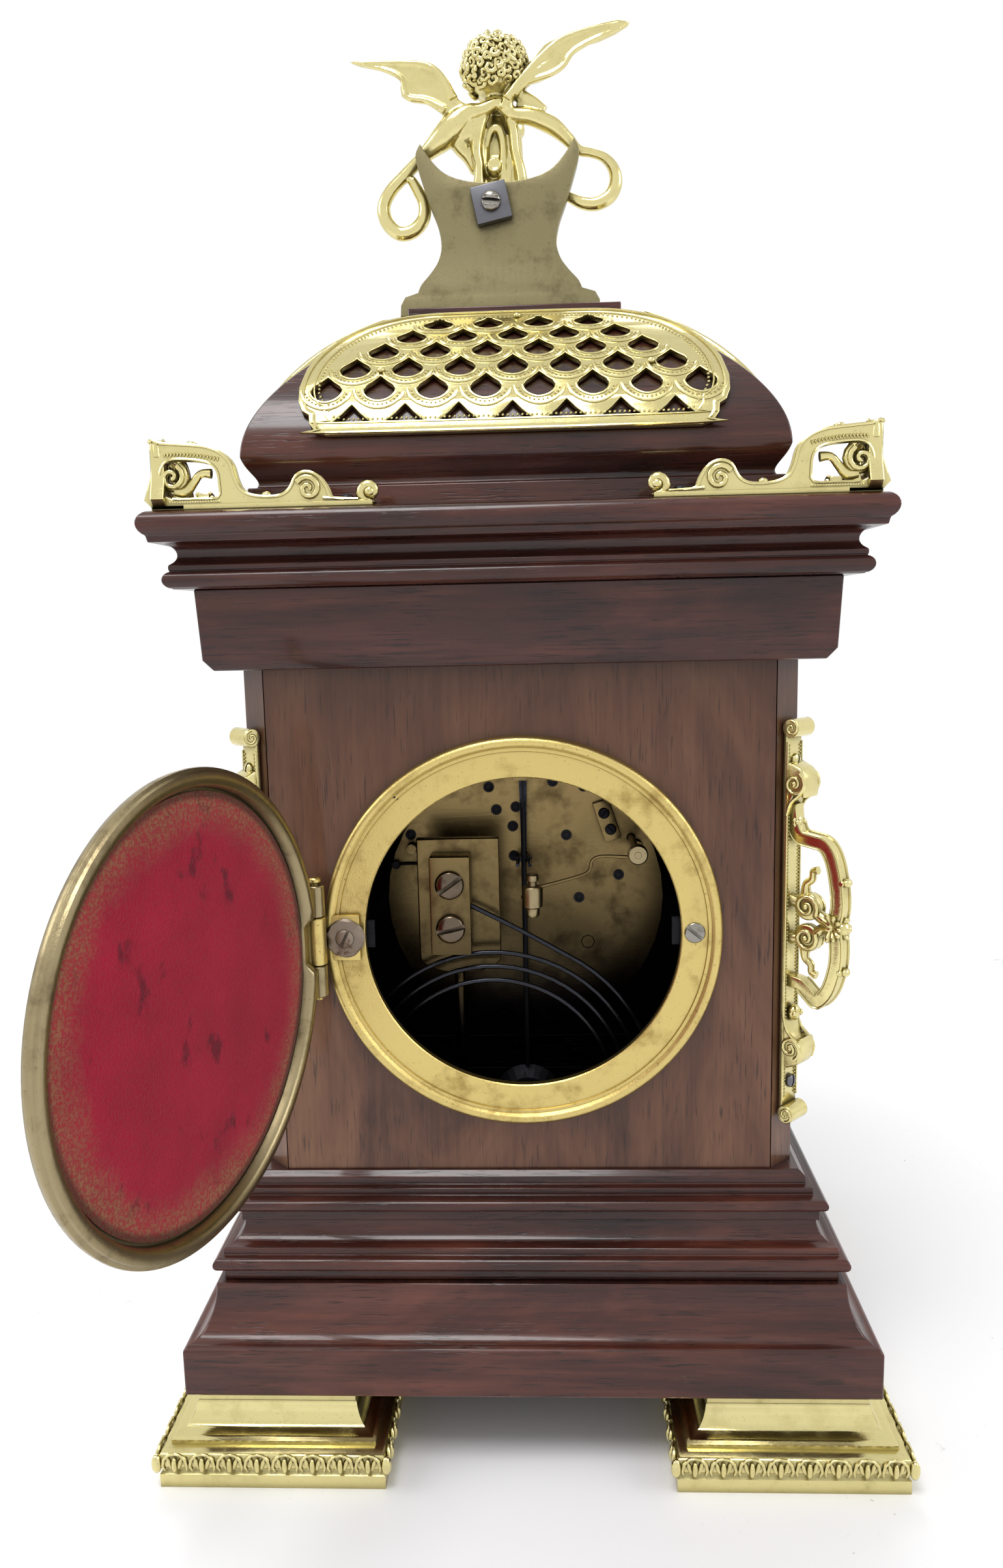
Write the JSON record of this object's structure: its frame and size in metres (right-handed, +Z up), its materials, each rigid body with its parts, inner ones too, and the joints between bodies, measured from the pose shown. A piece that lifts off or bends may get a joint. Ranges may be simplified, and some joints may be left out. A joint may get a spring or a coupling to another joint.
{
  "type": "bracket clock",
  "caption": "Mahogany bracket clock with bell top, pierced gilt scale grilles, winged figure finial, scrolled corner mounts, square feet and an open round rear door.",
  "frame": {"origin": "on the floor, under the middle of the outline with the rear door standing open, so the case's own centre line lies 42.9 mm towards -Y", "axes": "+Z up, the dial faces -Y, the rear door faces +Y, and +X is the clock's own left, the side that carries both door hinges"},
  "size_m": [0.2142, 0.2602, 0.4202],
  "materials": {
    "mahogany": "polished",
    "mahogany_panel": "polished",
    "gilt_brass": "polished",
    "aged_brass": "satin",
    "door_brass": "satin",
    "crimson_cloth": "woven",
    "white_enamel": "gloss",
    "clear_glass": "clear",
    "movement_brass": "satin",
    "steel": "satin",
    "blued_steel": "blued"
  },
  "bodies": {
    "case": {"plinth": "mahogany", "lower_base_moulding": "mahogany", "upper_base_moulding": "mahogany", "case_side_left": "mahogany", "case_side_right": "mahogany", "case_back": "mahogany_panel", "case_front": "mahogany_panel", "frieze": "mahogany", "cornice": "mahogany", "bell_top": "mahogany", "foot_front_left": "gilt_brass", "foot_front_right": "gilt_brass", "foot_rear_left": "gilt_brass", "foot_rear_right": "gilt_brass", "grille_rear": "gilt_brass", "grille_front": "gilt_brass", "grille_left": "gilt_brass", "grille_right": "gilt_brass", "gallery_bracket_front_left": "gilt_brass", "gallery_bracket_front_right": "gilt_brass", "gallery_bracket_rear_left": "gilt_brass", "gallery_bracket_rear_right": "gilt_brass", "corner_mount_front_left": "gilt_brass", "corner_mount_front_right": "gilt_brass", "corner_mount_rear_left": "gilt_brass", "corner_mount_rear_right": "gilt_brass", "frieze_mount_left": "gilt_brass", "frieze_mount_right": "gilt_brass", "frieze_mount_front": "gilt_brass", "finial_plate": "aged_brass", "finial_figure": "gilt_brass", "finial_nut": "steel", "rear_bezel": "aged_brass", "rear_hinge_pin": "steel", "dial_plate": "aged_brass", "dial": "white_enamel", "front_hinge_pin": "aged_brass", "movement_front_plate": "movement_brass", "movement_back_plate": "movement_brass", "suspension_bridge": "movement_brass", "gong_coil": "blued_steel", "gong_block": "movement_brass", "gong_stand": "movement_brass", "strap_left": "steel", "strap_right": "steel"},
    "rear_door": {"rear_door": "door_brass", "door_lining": "crimson_cloth"},
    "glass_door": {"glass_bezel": "gilt_brass", "dial_glass": "clear_glass"},
    "centre_arbor": {"centre_wheel": "movement_brass", "minute_hand": "blued_steel"},
    "hour_hand": {"hour_hand": "blued_steel"},
    "second_arbor": {"second_wheel": "movement_brass"},
    "going_barrel": {"going_barrel": "movement_brass"},
    "strike_barrel": {"strike_barrel": "movement_brass"},
    "third_arbor": {"third_wheel": "movement_brass"},
    "escape_arbor": {"escape_wheel": "movement_brass"},
    "pendulum": {"pendulum": "steel", "pallets_and_crutch": "steel"},
    "strike_hammer": {"strike_hammer": "steel"}
  },
  "joints": [
    {"name": "rear_door_hinge", "type": "hinge", "parent": "case", "child": "rear_door", "pos_m": [0.0577, 0.0201, 0.153], "axis": [0, 0, 1], "range_deg": [-20, 106]},
    {"name": "glass_door_hinge", "type": "hinge", "parent": "case", "child": "glass_door", "pos_m": [0.0664, -0.1062, 0.153], "axis": [0, 0, 1], "range_deg": [0, 110]},
    {"name": "centre_spin", "type": "hinge", "parent": "case", "child": "centre_arbor", "pos_m": [0, -0.0529, 0.153], "axis": [0, 1, 0], "continuous": true},
    {"name": "hour_spin", "type": "hinge", "parent": "case", "child": "hour_hand", "pos_m": [0, -0.1029, 0.153], "axis": [0, 1, 0], "continuous": true},
    {"name": "second_spin", "type": "hinge", "parent": "case", "child": "second_arbor", "pos_m": [0.01409, -0.0529, 0.15737], "axis": [0, 1, 0], "continuous": true},
    {"name": "going_barrel_spin", "type": "hinge", "parent": "case", "child": "going_barrel", "pos_m": [0.02, -0.0529, 0.138], "axis": [0, 1, 0], "continuous": true},
    {"name": "strike_barrel_spin", "type": "hinge", "parent": "case", "child": "strike_barrel", "pos_m": [-0.02, -0.0529, 0.138], "axis": [0, 1, 0], "continuous": true},
    {"name": "third_spin", "type": "hinge", "parent": "case", "child": "third_arbor", "pos_m": [0, -0.0529, 0.16745], "axis": [0, 1, 0], "continuous": true},
    {"name": "escape_spin", "type": "hinge", "parent": "case", "child": "escape_arbor", "pos_m": [0, -0.0529, 0.18], "axis": [0, 1, 0], "continuous": true},
    {"name": "pendulum_swing", "type": "hinge", "parent": "case", "child": "pendulum", "pos_m": [0, -0.0189, 0.19], "axis": [0, 1, 0], "range_deg": [-4, 4]},
    {"name": "hammer_lift", "type": "hinge", "parent": "case", "child": "strike_hammer", "pos_m": [-0.034, -0.0009, 0.172], "axis": [0, 1, 0], "range_deg": [-8, 6], "stiffness_Nm_per_rad": 0.08}
  ],
  "couplings": [
    {"joint": "hour_spin", "follows": "centre_spin", "ratio": 0.083333},
    {"joint": "second_spin", "follows": "centre_spin", "ratio": -0.16667},
    {"joint": "going_barrel_spin", "follows": "centre_spin", "ratio": 0.027778},
    {"joint": "third_spin", "follows": "centre_spin", "ratio": -12},
    {"joint": "escape_spin", "follows": "centre_spin", "ratio": 144}
  ]
}
